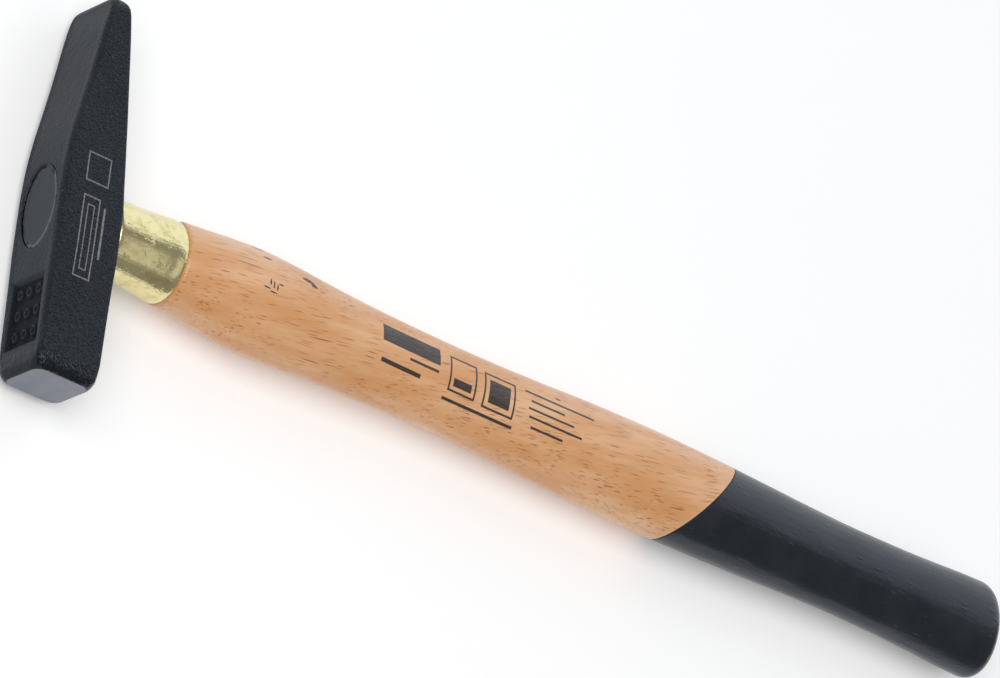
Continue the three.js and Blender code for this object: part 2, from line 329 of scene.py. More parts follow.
# ---- plain marks
@dataclass(frozen=True)
class Bar:
    """A plain upright rectangle of a mark, solid or drawn as an outline."""

    along: tuple[float, float]
    across: tuple[float, float]
    line: float = 0.0
    soft: float = 0.06

    def mask(self, u: Wire, v: Wire) -> Wire:
        """Where the rectangle lies.

        Args:
            u: Place along the mark, in millimetres.
            v: Place across it.

        Returns:
            A mask from 0 to 1.
        """
        (u0, u1), (v0, v1) = self.along, self.across
        out_u = abs(u - (u0 + u1) / 2) - (u1 - u0) / 2
        out_v = abs(v - (v0 + v1) / 2) - (v1 - v0) / 2
        outside = out_u.most(out_v)
        if not self.line:
            return outside.ramp(self.soft, -self.soft)
        half = self.line / 2
        return abs(outside + half).ramp(half + 0.05, half - 0.05)


def stencil(bars: Sequence[Bar], u: Wire, v: Wire) -> Wire:
    """All the rectangles of a mark as one mask."""
    return reduce(Wire.most, [bar.mask(u, v) for bar in bars])


CHEEK_MARK = (
    Bar((-15.2, 2.6), (-2.7, 1.5), 0.3), Bar((-13.4, 0.8), (-1.5, 0.3), 0.25),
    Bar((5.6, 12.0), (-2.8, 2.9), 0.3), Bar((-10.0, 1.2), (2.5, 3.0)),
)
HANDLE_MARK = (
    Bar((75.0, 90.5), (0.6, 4.4)), Bar((82.5, 90.3), (-1.2, -0.6)),
    Bar((75.4, 86.0), (-3.9, -3.0)), Bar((93.2, 100.4), (-3.6, 4.2), 0.45),
    Bar((94.4, 99.2), (-2.4, -0.6)), Bar((102.4, 110.8), (-3.9, 4.0), 0.45),
    Bar((103.8, 109.4), (-2.5, 2.6)), Bar((92.6, 111.4), (-5.6, -5.0)),
    Bar((113.4, 132.0), (3.6, 4.1)), Bar((115.0, 124.0), (1.7, 2.2)),
    Bar((114.4, 126.6), (-0.1, 0.4)), Bar((114.8, 129.0), (-1.9, -1.4)),
    Bar((115.8, 124.4), (-3.9, -3.4)),
)


# ---- finishes
@dataclass(frozen=True)
class PowderCoat:
    """Black coat on the forging: coarse on the cheeks, finer elsewhere, glossy at the face, with
    painted shade in the stamped panel, the eye's bore, a crack by the eye and the face-end chamfer.
    """

    body: Colour = (0.0112, 0.0137, 0.0185)
    sheen: Colour = (0.0175, 0.021, 0.027)
    # painted shade colour for the stamped panel, the eye's bore, the crack by the eye and the
    # face-end chamfer
    hollow: Colour = (0.003, 0.0034, 0.004)
    tint: Colour = (0.76, 0.86, 1.0)
    specular: float = 0.29
    etch: Colour = (0.30, 0.285, 0.28)
    glint: Colour = (0.12, 0.128, 0.14)
    grain: float = 0.6
    depth: float = 0.42
    eye: tuple[float, float] = (9.15, 5.42)
    roughness: float = 0.46

    def material(self) -> bpy.types.Material:
        """The coat's material.

        Returns:
            The material.
        """
        board = Board("powder_coat")
        spot = board.place()
        x, y, z = board.axes(spot)
        cheek = abs(z).ramp(5.2, 6.9)
        end = y.ramp(-31.0, -33.2)
        long_way = y.ramp(-31.2, -30.6) * y.ramp(-14.9, -15.5)
        sides = x.ramp(-7.5, -7.2) * abs(z).ramp(4.5, 4.7)
        stamped = x.ramp(-7.15, -6.8).most(sides) * x.ramp(-5.0, -5.6)
        stamped = stamped * abs(z).ramp(5.6, 5.1) * long_way
        off_eye = ((y / self.eye[0]) ** 2.0 + (z / self.eye[1]) ** 2.0) ** 0.5
        bore = off_eye.ramp(1.03, 0.995)
        # painted shade of the crack between plug and head, laid on the head's top beside the eye
        torn = off_eye.ramp(1.2, 1.08) * z.ramp(0.5, -1.2) * y.ramp(-5.5, -2.5)
        torn = torn * board.noise(spot, 0.55, 3.0, 0.6).ramp(0.4, 0.5) * x.ramp(-6.0, -6.6)
        # painted shade mask: stamped panel, eye's bore, that crack and the chamfer at the face end
        painted_shade = stamped.most(bore).most(torn).most(end * 0.9)
        pebbles, _ = board.cells(spot, 1 / self.grain)
        fine = board.noise(spot, 2.4, 4.0, 0.62)
        lumps = board.noise(spot, 0.75, 2.0, 0.5)
        broad = board.noise(spot, 0.09, 3.0, 0.55)
        height = (1 - pebbles.ramp(0.05, 0.8)) * 0.9 + fine * 0.7
        strength = 0.13 + cheek * 0.87
        normal = board.bump(board.noise(spot, 0.32, 2.0, 0.5), 0.14)
        normal = board.bump(lumps * (cheek * 0.5 + end * 0.5), 0.22, normal)
        normal = board.bump(height * strength * (1 - end * 0.75), self.depth, normal)
        tint = board.blend(broad.ramp(0.3, 0.7), self.body, self.sheen)
        # the painted shade darkens the coat's colour here
        tint = board.blend(painted_shade * 0.92, tint, self.hollow)
        glints = board.noise(spot, 1.5, 2.0, 0.7).ramp(0.64, 0.72) * (cheek * 0.4).most(end * 0.3)
        tint = board.blend(glints, tint, self.glint)
        etched = stencil(CHEEK_MARK, y, x) * z.ramp(6.6, 7.0)
        tint = board.blend(etched * (0.6 + fine * 0.5).held(), tint, self.etch)
        rough = self.roughness + (fine - 0.5) * 0.2 + (broad - 0.5) * 0.12
        rough = rough - end * 0.32 - bore * 0.36 + stamped * 0.3
        gloss = {"Specular_IOR_Level": self.specular, "Specular_Tint": self.tint}
        return board.finish(tint, rough, normal, **gloss)


@dataclass(frozen=True)
class GroundSteel:
    """Struck face ground bare and lightly lacquered."""

    body: Colour = (0.185, 0.196, 0.232)
    light: Colour = (0.235, 0.247, 0.285)
    lines: Colour = (0.12, 0.128, 0.155)
    roughness: float = 0.42

    def material(self) -> bpy.types.Material:
        """The face's material.

        Returns:
            The material.
        """
        board = Board("ground_steel")
        spot = board.place()
        lines = board.noise(spot, (9.0, 1.0, 0.5), 3.0, 0.6)
        cloud = board.noise(spot, 0.25, 3.0, 0.55)
        tint = board.blend(cloud.ramp(0.3, 0.72), self.body, self.light)
        tint = board.blend(lines.ramp(0.55, 0.75) * 0.25, tint, self.lines)
        normal = board.bump(lines, 0.006)
        rough = self.roughness + (cloud - 0.5) * 0.15
        return board.finish(tint, rough, normal, Metallic=0.75)


@dataclass(frozen=True)
class Lacquer:
    """Black lacquer, poured or dipped; where it fills an oval, its rim gets a painted highlight
    along one side and painted shade in a torn crack and chips.
    """

    name: str
    body: Colour
    worn: Colour
    roughness: float
    ripple: float
    grain: tuple[float, float, float]
    specular: float = 0.5
    tint: Colour = (0.76, 0.87, 1.0)
    rim: tuple[float, float] | None = None
    # painted highlight colour for the lip along one side of the rim
    pale: Colour = (0.13, 0.145, 0.17)
    # painted shade colour for the crack and chips at the torn rim
    painted_shade: Colour = (0.002, 0.002, 0.003)

    def material(self) -> bpy.types.Material:
        """The lacquer's material.

        Returns:
            The material.
        """
        board = Board(self.name)
        spot = board.place()
        streak = board.noise(spot, self.grain, 3.0, 0.55)
        cloud = board.noise(spot, 0.12, 3.0, 0.5)
        near, pick = board.cells(spot, (0.2, 0.75, 0.75))
        dust = near.ramp(0.24, 0.1) * pick.ramp(0.5, 0.6)
        tint = board.blend(cloud.ramp(0.35, 0.7), self.body, self.worn)
        rough = self.roughness + (cloud - 0.5) * 0.1 + (streak - 0.5) * 0.08
        if self.rim:
            _, y, z = board.axes(spot)
            out = ((y / self.rim[0]) ** 2.0 + (z / self.rim[1]) ** 2.0) ** 0.5
            # painted highlight along the lip on one side of the rim
            pale = out.ramp(0.88, 0.96) * (z - y * 0.35).ramp(0.3, 2.2) * 0.7
            tint = board.blend(pale, tint, self.pale)
            # painted shade in the crack and chips along the torn rim
            ragged = board.noise(spot, 0.8, 3.0, 0.6)
            chips = ragged.ramp(0.56, 0.62) * out.ramp(0.88, 0.93)
            crack = (out + ragged * 0.2).ramp(0.97, 1.0) * (y * 0.3 - z).ramp(1.2, 2.6)
            torn = chips.most(crack)
            tint = board.blend(torn, tint, self.painted_shade)
            rough = rough + torn * 0.45
        normal = board.bump(streak, self.ripple)
        normal = board.bump(board.noise(spot, 1.5, 3.0, 0.6), 0.035, normal)
        normal = board.bump(dust, 0.05, normal)
        gloss = {"Specular_IOR_Level": self.specular, "Specular_Tint": self.tint}
        return board.finish(tint, rough, normal, **gloss)


@dataclass(frozen=True)
class Brass:
    """Polished pale brass sheet with handling marks."""

    body: Colour = (0.80, 0.71, 0.385)
    dull: Colour = (0.62, 0.50, 0.22)
    roughness: float = 0.15

    def material(self) -> bpy.types.Material:
        """The brass material.

        Returns:
            The material.
        """
        board = Board("pale_brass")
        spot = board.place()
        drawn = board.noise(spot, (0.09, 1.9, 1.9), 4.0, 0.65)
        cloud = board.noise(spot, 0.35, 4.0, 0.6)
        near, pick = board.cells(spot, (0.25, 1.6, 1.6))
        scratch = near.ramp(0.16, 0.08) * pick.ramp(0.7, 0.75)
        tint = board.blend(cloud.ramp(0.45, 0.75), self.body, self.dull)
        normal = board.bump(board.noise(spot, 0.3, 2.0, 0.5), 0.05)
        dents = board.noise(spot, (0.35, 0.7, 0.7), 3.0, 0.6).ramp(0.58, 0.72)
        normal = board.bump(dents, 0.06, normal)
        normal = board.bump(drawn - scratch * 0.8, 0.045, normal)
        rough = self.roughness + (cloud - 0.5) * 0.16 + scratch * 0.2
        return board.finish(tint, rough, normal, Metallic=1.0)


@dataclass(frozen=True)
class Nick:
    """A small dark pit in the surface of the wood."""

    centre: tuple[float, float, float]
    half: tuple[float, float, float]


NICKS = (
    Nick((54.8, 6.0, 7.1), (1.6, 0.55, 0.8)), Nick((56.2, 5.3, 7.4), (0.9, 0.6, 0.8)),
    Nick((44.5, 1.3, 8.6), (0.22, 0.8, 0.6)), Nick((45.4, 1.0, 8.7), (0.2, 0.9, 0.6)),
    Nick((46.3, 0.7, 8.7), (0.2, 0.8, 0.6)), Nick((43.7, -0.2, 8.7), (0.9, 0.18, 0.6)),
    Nick((45.4, -0.7, 8.7), (1.0, 0.16, 0.6)), Nick((47.2, 1.6, 8.6), (0.7, 0.18, 0.6)),
    Nick((44.2, 7.0, 6.8), (1.4, 0.26, 0.5)), Nick((42.6, 9.0, 5.0), (1.6, 0.3, 0.5)),
    Nick((122.5, 5.3, 6.8), (0.8, 0.22, 0.5)),
)


@dataclass(frozen=True)
class Beech:
    """Steamed beech under clear varnish: short dark ray flecks along a soft, streaky ground."""

    name: str = "varnished_beech"
    pale: Colour = (0.79, 0.465, 0.255)
    deep: Colour = (0.68, 0.32, 0.125)
    fleck: Colour = (0.29, 0.088, 0.022)
    ink: Colour = (0.009, 0.009, 0.011)
    pit: Colour = (0.006, 0.004, 0.003)
    bloom: Colour = (0.74, 0.44, 0.24)
    varnish: float = 0.6
    edge: tuple[float, float, float] = (167.0, 0.73, 0.08)

    def material(self) -> bpy.types.Material:
        """The wood's material.

        Returns:
            The material.
        """
        board = Board(self.name)
        spot = board.place()
        x, y, z = board.axes(spot)
        sway = board.noise(board.joined(x * 0.02, y * 0.05, z * 0.05), 1.0, 2.0, 0.5)
        lean = y - x * 0.17 + sway * 4.0
        grain = board.joined(x, lean, z)
        bands = board.noise(grain, (0.014, 0.42, 0.42), 4.0, 0.6)
        clouds = board.noise(grain, (0.03, 0.13, 0.13), 3.0, 0.55)
        fibre = board.noise(grain, (0.25, 6.0, 6.0), 3.0, 0.65)
        silk = board.noise(grain, (0.16, 1.3, 1.3), 4.0, 0.65)
        tint = board.blend(clouds.ramp(0.34, 0.68), self.pale, self.deep)
        tint = board.blend(bands.ramp(0.46, 0.68) * 0.7, tint, self.deep)
        tint = board.blend(silk.ramp(0.52, 0.7) * 0.28, tint, self.deep)
        tint = board.blend(silk.ramp(0.46, 0.3) * 0.35, tint, self.bloom)
        tint = board.blend(fibre.ramp(0.5, 0.8) * 0.26, tint, self.fleck)
        marks = self._dashes(board, grain, (0.15, 2.3, 2.3), 0.3, 0.4)
        marks = marks.most(self._dashes(board, grain, (0.12, 3.4, 3.4), 0.38, 0.5) * 0.75)
        marks = marks.most(self._dashes(board, grain, (0.05, 1.5, 1.5), 0.25, 0.6))
        patch = board.noise(spot, 0.11, 2.0, 0.5).ramp(0.3, 0.6)
        marks = marks * z.ramp(-8.0, -3.0)
        tint = board.blend(marks * (0.55 + patch * 0.3), tint, self.fleck)
        if self.varnish:
            start, along_y, along_z = self.edge
            past = x - y * along_y - z * along_z - start
            tint = board.blend(past.ramp(-0.75, -0.5) * 0.4, tint, self.bloom)
            ink = stencil(HANDLE_MARK, x, y) * z.ramp(2.0, 3.0) * (0.75 + fibre * 0.4).held()
            tint = board.blend(ink, tint, self.ink)
            pits = self._pits(board, spot, board.noise(spot, 1.3, 3.0, 0.6))
            tint = board.blend(pits.most(past.ramp(-0.22, -0.1)) * 0.97, tint, self.pit)
            marks = marks * 0.5 + pits * 4.0
        normal = board.bump(fibre * 0.5 - marks * 0.5, 0.02)
        rough = 0.42 + (clouds - 0.5) * 0.2
        coat = {"Coat_Weight": self.varnish, "Coat_Roughness": 0.26}
        return board.finish(tint, rough, normal, Specular_IOR_Level=0.25, **coat)

    @staticmethod
    def _pits(board: Board, spot: Wire, ragged: Wire) -> Wire:
        """Dark pits at fixed places.

        Args:
            board: The material's board.
            spot: Place from the middle of the eye, in millimetres.
            ragged: Noise that roughens their outlines.

        Returns:
            A mask from 0 to 1.
        """
        masks = []
        for nick in NICKS:
            away = board.shift(spot, tuple(-v for v in nick.centre))
            away = board.stretch(away, tuple(1 / v for v in nick.half))
            size = board.node("ShaderNodeVectorMath", {"operation": "LENGTH"}, {0: away}, "Value")
            masks.append((size + ragged * 0.9).ramp(1.5, 1.25))
        return reduce(Wire.most, masks)

    @staticmethod
    def _dashes(board: Board, grain: Wire, pitch: Scale, size: float, share: float) -> Wire:
        """Short dashes along the grain, spaced by pitch, with a share of them left out."""
        near, pick = board.cells(grain, pitch)
        return near.ramp(size, size * 0.45) * pick.ramp(share, share + 0.25)


@dataclass(frozen=True)
class DrawnSteel:
    """Plain drawn steel tube."""

    dark: Colour = (0.42, 0.43, 0.45)
    light: Colour = (0.6, 0.61, 0.63)

    def material(self) -> bpy.types.Material:
        """The tube's material.

        Returns:
            The material.
        """
        board = Board("drawn_steel")
        spot = board.place()
        lines = board.noise(spot, (0.3, 6.0, 6.0), 3.0, 0.6)
        tint = board.blend(lines.ramp(0.35, 0.7), self.dark, self.light)
        normal = board.bump(lines, 0.01)
        return board.finish(tint, lines * 0.2 + 0.3, normal, Metallic=1.0)


@dataclass(frozen=True)
class PaleFloor:
    """Plain matt pale floor that glows faintly."""

    dark: Colour = (0.87, 0.87, 0.87)
    light: Colour = (0.89, 0.89, 0.89)
    glow: float = 0.2

    def material(self) -> bpy.types.Material:
        """The floor's material.

        Returns:
            The material.
        """
        board = Board("pale_floor")
        cloud = board.noise(board.place(), 0.004, 2.0, 0.5)
        tint = board.blend(cloud, self.dark, self.light)
        glow = {"Emission_Color": (1.0, 1.0, 1.0), "Emission_Strength": self.glow}
        return board.finish(tint, 0.8, None, Specular_IOR_Level=0.1, **glow)


# ---- mesh making
@dataclass(frozen=True)
class Profile:
    """A table of stations joined by smooth curves that don't overshoot."""

    stations: tuple[tuple[float, ...], ...]

    def at(self, where: Array | float) -> Array:
        """Values between the stations.

        Args:
            where: Places along the first column, any shape.

        Returns:
            The other columns there, in a new last axis.
        """
        table = np.array(self.stations, float)
        knots, rows = table[:, 0], table[:, 1:]
        chord = np.diff(rows, axis=0) / np.diff(knots)[:, None]
        slope = np.zeros_like(rows)
        slope[0], slope[-1] = chord[0], chord[-1]
        before, after = chord[:-1], chord[1:]
        same = before * after > 0
        total = np.where(same, before + after, 1.0)
        slope[1:-1] = np.where(same, 2 * before * after / total, 0.0)
        place = np.clip(np.asarray(where, float), knots[0], knots[-1])
        k = np.clip(np.searchsorted(knots, place, side="right") - 1, 0, len(knots) - 2)
        span = (knots[k + 1] - knots[k])[..., None]
        t = (place[..., None] - knots[k][..., None]) / span
        start = (2 * t**3 - 3 * t**2 + 1) * rows[k] + (t**3 - 2 * t**2 + t) * span * slope[k]
        end = (3 * t**2 - 2 * t**3) * rows[k + 1] + (t**3 - t**2) * span * slope[k + 1]
        return start + end


def hang(name: str, data: bpy.types.ID) -> bpy.types.Object:
    """A new object in the scene.

    Args:
        name: The object's name.
        data: What it shows: a mesh, a light or a camera.

    Returns:
        The object.
    """
    made = bpy.data.objects.new(name, data)
    bpy.context.scene.collection.objects.link(made)
    return made


@dataclass
class Draft:
    """A mesh being drawn, in millimetres from the middle of the eye."""

    points: list[Array] = field(default_factory=list)
    faces: list[tuple[int, ...]] = field(default_factory=list)
    tags: list[int] = field(default_factory=list)
    count: int = 0

    def add(self, points: Array) -> Array:
        """Adds points.

        Args:
            points: Their places, any shape with three numbers last.

        Returns:
            Their numbers, in the same shape.
        """
        flat = np.asarray(points, float).reshape(-1, 3)
        numbers = np.arange(self.count, self.count + len(flat))
        self.points.append(flat)
        self.count += len(flat)
        return numbers.reshape(np.shape(points)[:-1])

    def quads(self, rows: Array, tag: int = 0, wrap: bool = True) -> None:
        """Joins successive rows of points with quads.

        Args:
            rows: Point numbers, one row for each ring.
            tag: The material's number.
            wrap: Whether each ring closes on itself.
        """
        left, right = rows[:-1], rows[1:]
        if wrap:
            ahead, beyond = np.roll(left, -1, 1), np.roll(right, -1, 1)
        else:
            left, right, ahead, beyond = left[:, :-1], right[:, :-1], left[:, 1:], right[:, 1:]
        quads = np.stack([left, ahead, beyond, right], -1).reshape(-1, 4)
        self.faces.extend(tuple(int(v) for v in quad) for quad in quads)
        self.tags.extend([tag] * len(quads))

    def fan(self, ring: Array, hub: Sequence[float], tag: int = 0) -> None:
        """Closes a ring with triangles to a middle point.

        Args:
            ring: Point numbers round the ring.
            hub: The middle point.
            tag: The material's number.
        """
        middle = int(self.add(np.array([hub]))[0])
        for a, b in zip(ring, np.roll(ring, -1)):
            self.faces.append((int(a), int(b), middle))
            self.tags.append(tag)

    def build(self, name: str, origin: Vector, sharp: float = 38.0) -> bpy.types.Object:
        """Makes the object.

        Args:
            name: The object's name.
            origin: The middle of the eye in the row frame, in metres.
            sharp: Edges that turn more than this angle stay sharp.

        Returns:
            The object.
        """
        mesh = bpy.data.meshes.new(name)
        points = np.concatenate(self.points) * MM + np.array(origin)
        mesh.from_pydata([tuple(p) for p in points], [], self.faces)
        mesh.polygons.foreach_set("material_index", self.tags)
        shape = bmesh.new()
        shape.from_mesh(mesh)
        bmesh.ops.recalc_face_normals(shape, faces=shape.faces)
        if shape.calc_volume(signed=True) < 0:
            bmesh.ops.reverse_faces(shape, faces=shape.faces)
        shape.to_mesh(mesh)
        shape.free()
        mesh.polygons.foreach_set("use_smooth", [True] * len(mesh.polygons))
        mesh.set_sharp_from_angle(angle=math.radians(sharp))
        return hang(name, mesh)


def ovals(x: Array, half_y: Array, half_z: Array, count: int) -> Array:
    """Rings of points square to the X axis.

    Args:
        x: Place of each ring.
        half_y: Half height of each ring.
        half_z: Half width of each ring.
        count: Points in a ring.

    Returns:
        Points, one row to each ring.
    """
    turn = np.linspace(0, 2 * math.pi, count, endpoint=False)
    rows = np.broadcast_arrays(
        np.asarray(x, float)[:, None] + 0 * turn,
        np.asarray(half_y, float)[:, None] * np.cos(turn),
        np.asarray(half_z, float)[:, None] * np.sin(turn),
    )
    return np.stack(rows, -1)


def smooth(value: Array, low: float, high: float) -> Array:
    """Smooth step from 0 at low to 1 at high."""
    t = np.clip((np.asarray(value, float) - low) / (high - low), 0, 1)
    return t * t * (3 - 2 * t)


def rough_wave(*parts: Array) -> Array:
    """A fixed irregular wave from about -1 to 1, summed from a few sines of the parts.

    Args:
        *parts: Numbers or arrays that the wave runs along.

    Returns:
        The wave, in the shape of the parts together.
    """
    total = np.zeros(np.broadcast(*parts).shape)
    for k, (rate, phase) in enumerate(((1.0, 0.3), (2.3, 1.9), (4.1, 4.2), (7.7, 0.8))):
        mixed = sum(part * (1 + 0.37 * i * (k + 1)) for i, part in enumerate(parts))
        total += np.sin(mixed * rate + phase) / (1 + k)
    return total / 2.1


@dataclass
class Piece:
    """A piece of the hammer that rides on the hammer's body."""

    origin: Vector

    def settle(
        self,
        made: bpy.types.Object,
        slot: Slot,
        stands_for: Sequence[str],
        materials: Iterable[bpy.types.Material],
    ) -> bpy.types.Object:
        """Dresses a piece and fixes it to the frame.

        Args:
            made: The object.
            slot: Its material slot in the record; not used.
            stands_for: The CAD nodes that it replaces.
            materials: Its materials, in order.

        Returns:
            The object.
        """
        for material in materials:
            made.data.materials.append(material)
        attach(made, BODY)
        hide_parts(*stands_for)
        low, high = (np.array(c) for c in (made.bound_box[0], made.bound_box[6]))
        size = ", ".join(f"{v / MM:.1f}" for v in high - low)
        LOG.info("%s: %d faces, %s mm", made.name, len(made.data.polygons), size)
        return made


# ---- head
@dataclass
class Head(Piece):
    """Forged head: square bar, struck face, wedge peen, oval eye and stamped panel."""

    face_y: float = -36.4
    peen_y: float = 48.0
    tip_radius: float = 2.35
    corner_radius: float = 3.8
    edge_radius: float = 1.05
    crown: float = 0.12
    across: int = 48
    side: int = 14
    corner: int = 6
    eye_reach: float = 11.0
    rim: float = 0.3
    panel: tuple[float, float, float] = (-30.6, -15.7, 5.15)
    panel_depth: float = 1.1
    panel_draft: float = 0.6
    panel_slope: float = 1.3
    studs: int = 3
    stud_half: tuple[float, float] = (1.45, 1.05)
    stud_height: float = 0.6
    dimple: float = 0.75
    mouth_x: float = 7.5
    face_end: Profile = Profile(
        (
            (-36.4, -6.4, 6.55, 5.9, 2.2), (-36.0, -6.85, 7.0, 6.35, 2.3),
            (-35.3, -7.25, 7.4, 6.8, 2.3), (-34.4, -7.5, 7.65, 7.07, 2.1),
            (-33.0, -7.5, 7.65, 7.09, 1.6), (-31.0, -7.5, 7.65, 7.1, 1.05),
        )
    )
    bar: Profile = Profile(
        (
            (-31.0, -7.5, 7.65, 7.1), (-20.0, -7.65, 7.65, 7.27), (-14.0, -7.74, 7.7, 7.4),
            (-8.0, -7.8, 7.78, 7.58), (1.0, -7.85, 7.75, 7.58), (8.0, -7.66, 7.15, 7.5),
            (12.0, -7.35, 6.8, 7.45), (16.0, -6.85, 6.4, 7.42), (22.0, -5.81, 5.75, 7.45),
            (28.0, -4.75, 5.02, 7.5), (34.0, -3.83, 4.32, 7.52), (40.0, -2.98, 3.6, 7.54),
            (45.65, -1.95, 2.75, 7.56),
        )
    )
    eye: Profile = Profile(
        (
            (-8.0, 9.3, 5.5), (-7.5, 9.15, 5.42), (-5.5, 8.45, 5.2), (-2.0, 7.75, 5.05),
            (2.0, 7.55, 5.0), (5.0, 7.55, 5.1), (7.5, 7.6, 5.3), (8.0, 7.62, 5.35),
        )
    )

    def stations(self) -> Array:
        """Places along the head where its section is drawn.

        Returns:
            The places, from the face to the peen.
        """
        y0, y1, _ = self.panel
        tip = self.peen_y - self.tip_radius
        turn = np.radians(np.linspace(0, 82, 11)[1:])
        parts = (
            np.linspace(self.face_y, -34.2, 10),
            np.linspace(-33.8, y0 - 0.6, 7),
            np.arange(y0 - 0.3, y1 + 0.31, 0.25),
            np.linspace(y1 + 0.8, -self.eye_reach, 5),
            np.linspace(-self.eye_reach, self.eye_reach, 27)[1:],
            np.linspace(self.eye_reach, tip, 42)[1:],
            tip + self.tip_radius * np.sin(turn),
        )
        return np.concatenate(parts)

    def section(self, y: float) -> tuple[float, float, float, float]:
        """Size of the section at one place.

        Args:
            y: Place along the head.

        Returns:
            Its lowest x, highest x, half width and edge radius.
        """
        if y < self.bar.stations[0][0]:
            return tuple(float(v) for v in self.face_end.at(y))
        low, high, half = (float(v) for v in self.bar.at(y))
        tip = self.peen_y - self.tip_radius
        if y > tip:
            run = min(y - tip, self.tip_radius * 0.9995)
            thick = math.sqrt(self.tip_radius**2 - run**2)
            middle = (low + high) / 2
            low, high = middle - thick, middle + thick
        start = self.peen_y - self.corner_radius
        if y > start:
            run = min(y - start, self.corner_radius)
            half -= self.corner_radius - math.sqrt(self.corner_radius**2 - run**2)
        return low, high, half, min(self.edge_radius, 0.45 * (high - low))

    def ring(self, y: float) -> Array:
        """Points round the section, from the lower end of the eye side.

        Args:
            y: Place along the head.

        Returns:
            The points.
        """
        low, high, half, r = self.section(y)
        flat = np.linspace(-1, 1, self.across + 1) * (half - r)
        cheek = np.linspace(low + r, high - r, self.side + 1)
        turn = np.radians(np.linspace(0, 90, self.corner + 1)[1:-1])
        s, c = r * np.sin(turn), r * np.cos(turn)
        inner = half - r
        parts = (
            (low + 0 * flat, flat),
            (low + r - c, inner + s),
            (cheek, half + 0 * cheek),
            (high - r + s, inner + c),
            (high + 0 * flat, -flat),
            (high - r + c, -inner - s),
            (cheek[::-1], -half + 0 * cheek),
            (low + r - s, -inner - c),
        )
        x, z = (np.concatenate(column) for column in zip(*parts))
        return np.stack([x, np.full_like(x, y), z], -1)

    def relief(self, y: Array, z: Array) -> Array:
        """Depth of the stamped panel and the studs left standing in it.

        Args:
            y: Places along the head.
            z: Places across it.

        Returns:
            Depth below the top of the head.
        """
        y0, y1, half = self.panel
        steep = np.minimum(y - y0, half - np.abs(z)) / self.panel_draft
        inside = np.minimum(steep, (y1 - y) / self.panel_slope)
        depth = self.panel_depth * smooth(inside, -0.15, 1.0)
        room_y = (y1 - y0 - 2 * self.panel_draft) / self.studs
        room_z = 2 * (half - self.panel_draft) / self.studs
        v = (y - (y0 + y1) / 2 + self.studs / 2 * room_y) / room_y
        w = (z + self.studs / 2 * room_z) / room_z
        off_y = np.abs(v - np.floor(v) - 0.5) * room_y
        off_z = np.abs(w - np.floor(w) - 0.5) * room_z
        away = np.hypot(off_y / self.stud_half[0], off_z / self.stud_half[1])
        stud = smooth(away, 1.05, 0.72) - self.dimple * smooth(away, 0.55, 0.2)
        return depth - self.stud_height * stud * smooth(inside, 0.8, 1.2)

    def build(self) -> bpy.types.Object:
        """Draws the head's mesh.

        Returns:
            The object.
        """
        draft = Draft()
        where = self.stations()
        points = np.stack([self.ring(y) for y in where])
        top = points[:, : self.across + 1]
        top[..., 0] += self.relief(top[..., 1], top[..., 2])
        rows = draft.add(points)
        first = int(np.argmin(np.abs(where + self.eye_reach)))
        last = int(np.argmin(np.abs(where - self.eye_reach)))
        back = self.across + self.corner + self.side + self.corner
        draft.quads(rows[: first + 1])
        draft.quads(rows[last:])
        middle = rows[first : last + 1]
        draft.quads(middle[:, self.across : back + 1], wrap=False)
        tail = np.concatenate([middle[:, back + self.across :], middle[:, :1]], 1)
        draft.quads(tail, wrap=False)
        self._eye(draft, middle, back)
        self._face(draft, points[0], rows[0])
        draft.fan(rows[-1], points[-1].mean(0))
        return draft.build("head_forging", self.origin)

    def _eye(self, draft: Draft, rows: Array, back: int) -> None:
        """Cuts the eye between the two long faces.

        Args:
            draft: The head's draft.
            rows: Point numbers of the rings that the eye crosses.
            back: Number in a ring of the first point of the handle side.
        """
        top = rows[:, : self.across + 1]
        under = rows[:, back : back + self.across + 1][:, ::-1]
        loops = [
            np.concatenate([s[0, :-1], s[:-1, -1], s[-1, :0:-1], s[:0:-1, 0]]) for s in (top, under)
        ]
        points = np.concatenate(draft.points)
        y, z = points[loops[0]][:, 1], points[loops[0]][:, 2]
        half_y, half_z = self.eye.at(-self.mouth_x)
        turn = np.arctan2(z / half_z, y / half_y)

        def rim(x: Array | float, grow: float) -> tuple[Array, Array]:
            """Outline of the eye at x, grown all round."""
            half = self.eye.at(x)
            return (half[..., 0] + grow) * np.cos(turn), (half[..., 1] + grow) * np.sin(turn)

        ends: list[Array] = []
        for loop, column, sign in ((loops[0], 0, 1.0), (loops[1], 1, -1.0)):
            edge = points[loop]
            rings = [loop]
            mouth = sign * -self.mouth_x
            for share, grow, sink in (
                (0.4, self.rim, 0.0),
                (0.75, self.rim, 0.0),
                (1.0, self.rim, 0.0),
                (1.0, self.rim * 0.35, self.rim * 0.25),
                (1.0, 0.0, self.rim),
            ):
                ry, rz = rim(mouth, grow)
                yy = edge[:, 1] + (ry - edge[:, 1]) * share
                zz = edge[:, 2] + (rz - edge[:, 2]) * share
                surface = self.bar.at(yy)[:, column]
                rings.append(draft.add(np.stack([surface + sign * sink, yy, zz], -1)))
            draft.quads(np.stack(rings))
            ends.append(rings[-1])
        points = np.concatenate(draft.points)
        start, stop = points[ends[0]][:, 0], points[ends[1]][:, 0]
        bore = [ends[0]]
        for t in np.linspace(0, 1, 9)[1:-1]:
            x = start + (stop - start) * t
            ry, rz = rim(x, 0.0)
            bore.append(draft.add(np.stack([x, ry, rz], -1)))
        bore.append(ends[1])
        draft.quads(np.stack(bore))

